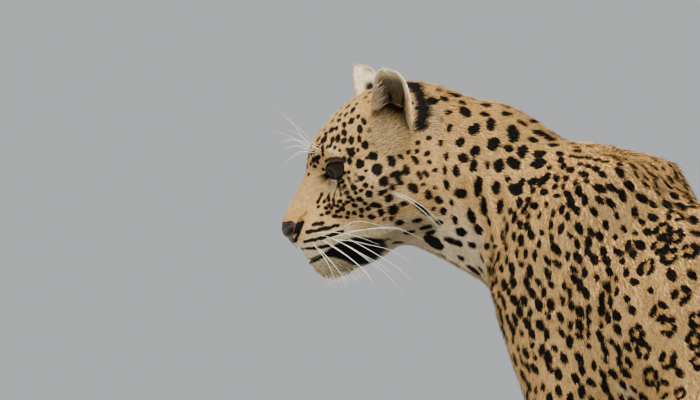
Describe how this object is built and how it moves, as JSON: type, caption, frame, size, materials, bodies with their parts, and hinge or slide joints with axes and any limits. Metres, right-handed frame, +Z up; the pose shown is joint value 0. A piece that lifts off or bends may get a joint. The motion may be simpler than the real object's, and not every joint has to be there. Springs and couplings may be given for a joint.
{
  "type": "leopard",
  "caption": "Life-size still leopard that sits upright with straight forelegs, head turned to its left, tail laid on the floor.",
  "frame": {"origin": "on the floor, under the middle of the bounding box", "axes": "+Z up, -X the way the chest faces, -Y the animal's left side"},
  "size_m": [0.962, 0.5338, 0.6916],
  "materials": {
    "coat": "short dense fur, golden tan with dark spots and rosettes, white below",
    "bare_skin": "moist dark skin with a fine pebble grain",
    "eye": "clear and wet, olive to amber iris with a round pupil"
  },
  "bodies": {
    "root": {"head": "coat", "jaw": "coat", "nose": "bare_skin", "eye_left": "eye", "eye_right": "eye", "ear_left": "coat", "ear_right": "coat", "neck": "coat", "chest": "coat", "hindquarters": "coat", "upper_arm_left": "coat", "upper_arm_right": "coat", "forearm_left": "coat", "forearm_right": "coat", "forepaw_left": "coat", "forepaw_right": "coat", "thigh_left": "coat", "thigh_right": "coat", "hindfoot_left": "coat", "hindfoot_right": "coat", "tail_1": "coat", "tail_2": "coat", "tail_3": "coat", "tail_4": "coat", "tail_5": "coat"}
  },
  "joints": []
}
